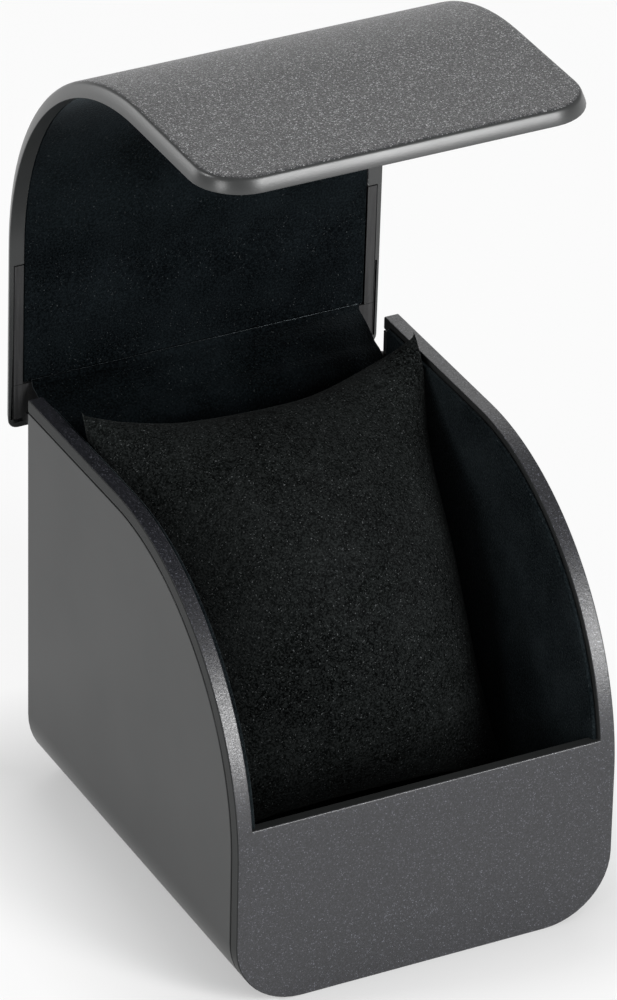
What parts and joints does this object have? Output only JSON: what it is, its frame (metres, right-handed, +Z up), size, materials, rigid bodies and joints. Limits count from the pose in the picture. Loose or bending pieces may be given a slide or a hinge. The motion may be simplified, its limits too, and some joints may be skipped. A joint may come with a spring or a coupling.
{
  "type": "watch box",
  "caption": "Small upright watch box with a hinged lid that bends over the whole front, a velvet lining and a leaning cushion that carries a watch.",
  "frame": {"origin": "middle of the flat underside", "axes": "+Z up, -Y towards the front panel, +X to the right seen from the front"},
  "size_m": [0.08, 0.1037, 0.1691],
  "materials": {
    "smooth_plastic": "smooth matt grey moulding",
    "grained_plastic": "dark grey moulding with a fine sparkling grain",
    "black_plastic": "satin black moulding",
    "pin_steel": "drawn steel wire",
    "velvet": "black short-pile velvet over card",
    "pillow_velvet": "black brushed velvet cover over a soft filling"
  },
  "bodies": {
    "case": {"base_shell": "smooth_plastic", "front_bezel": "grained_plastic", "back_panel": "black_plastic", "hinge_pin": "pin_steel", "liner_left": "velvet", "liner_right": "velvet", "liner_front": "velvet", "liner_back": "velvet", "liner_floor": "velvet", "pillow": "pillow_velvet"},
    "lid": {"lid_shell": "grained_plastic", "lid_hinge_bar": "black_plastic", "lid_rail_left": "black_plastic", "lid_rail_right": "black_plastic", "lid_lining": "velvet", "hinge_flap": "velvet"}
  },
  "joints": [
    {"name": "lid_hinge", "type": "hinge", "parent": "case", "child": "lid", "pos_m": [0, 0.045, 0.0756], "axis": [-1, 0, 0], "range_deg": [-88.9, 2]}
  ]
}
